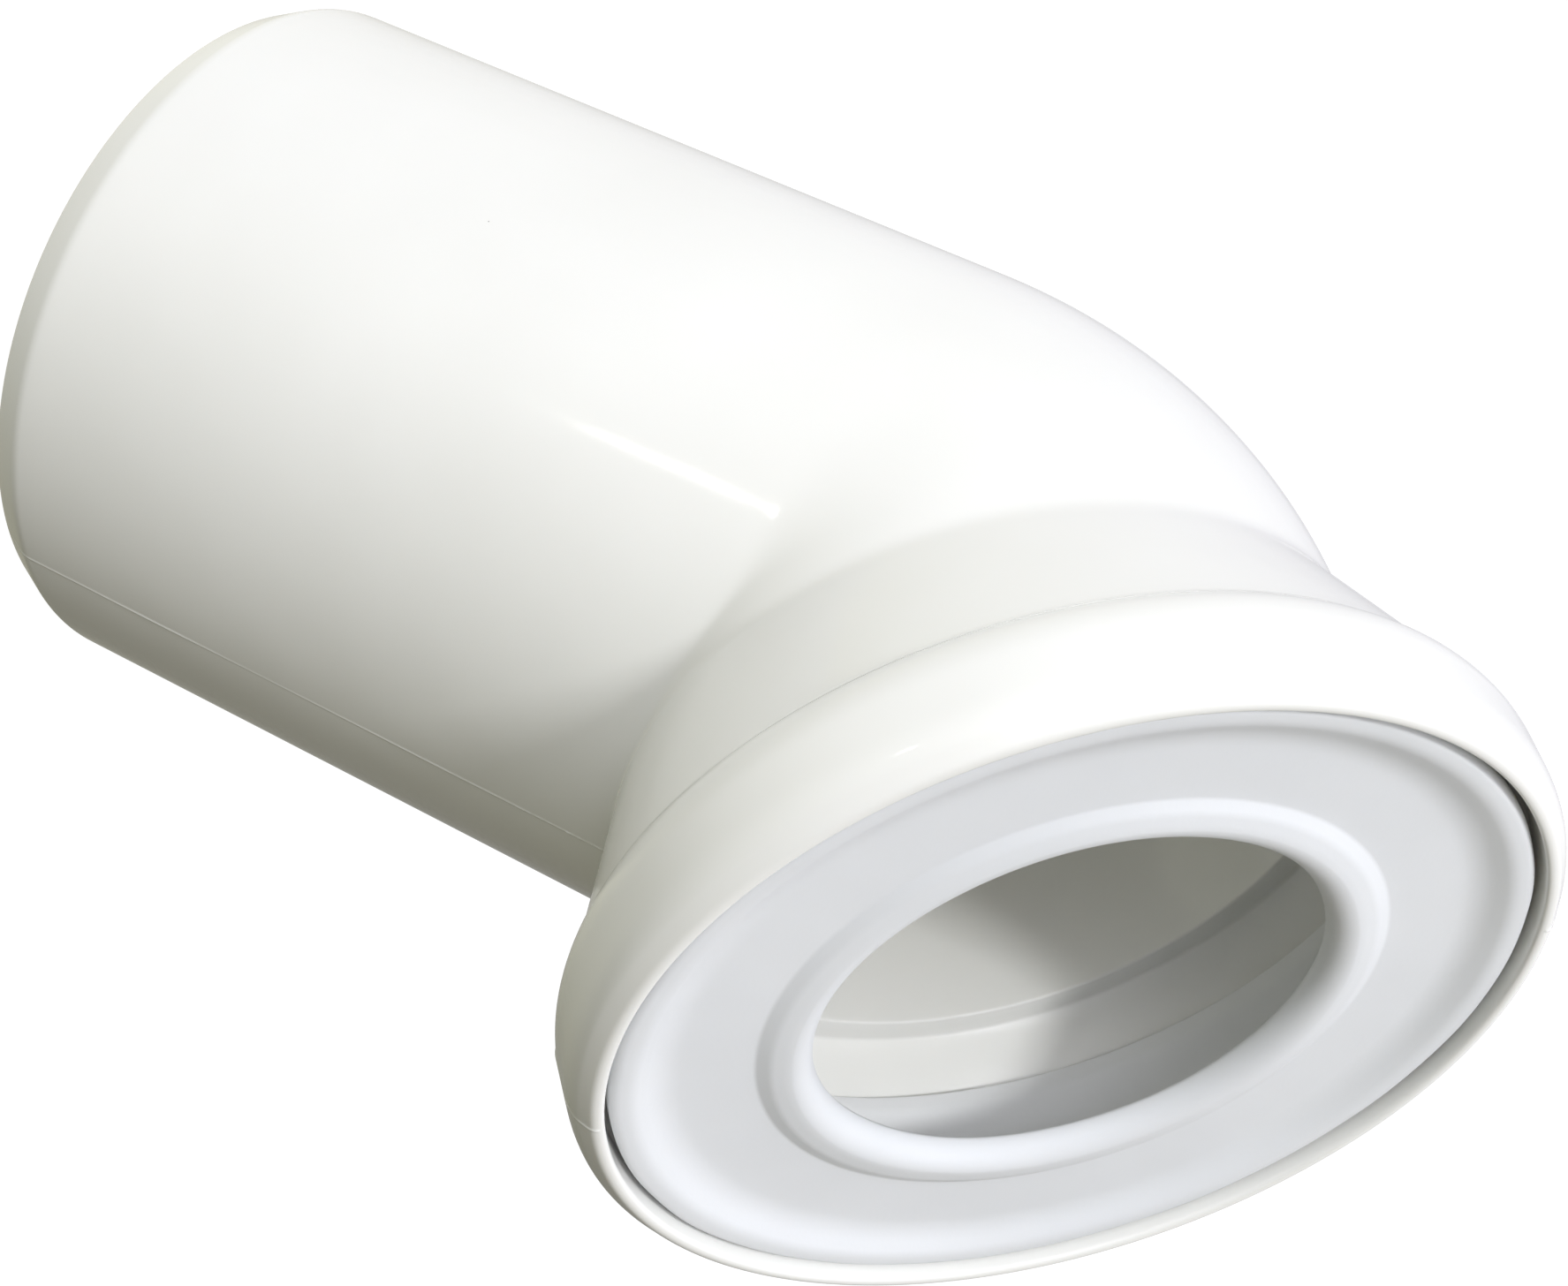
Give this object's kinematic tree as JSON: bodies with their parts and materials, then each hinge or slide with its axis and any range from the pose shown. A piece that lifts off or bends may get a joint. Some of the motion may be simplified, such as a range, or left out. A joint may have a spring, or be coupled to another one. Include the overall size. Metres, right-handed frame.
{
  "type": "toilet connector bend",
  "caption": "White 45 degree toilet connector bend with a long plain spigot and a flared socket that holds a push-in grey lip seal.",
  "frame": {"origin": "centre of the spigot's end face", "axes": "+Z along the spigot towards the bend, the socket leans 45 degrees from +Z towards +X, and XZ is the plane of symmetry"},
  "size_m": [0.1481, 0.1384, 0.229],
  "materials": {
    "white_moulding": "glossy injection-moulded polypropylene, sanitary white",
    "ring_plastic": "matt polypropylene, light grey",
    "seal_rubber": "satin thermoplastic rubber, light cool grey"
  },
  "bodies": {
    "connector": {"spigot_pipe": "white_moulding", "bend_elbow": "white_moulding", "socket_collar": "white_moulding"},
    "seal": {"support_ring": "ring_plastic", "lip_seal": "seal_rubber"}
  },
  "joints": [
    {"name": "seal_removal", "type": "slide", "parent": "connector", "child": "seal", "axis": [0.7071, 0, 0.7071], "range_m": [0, 0.045]}
  ]
}
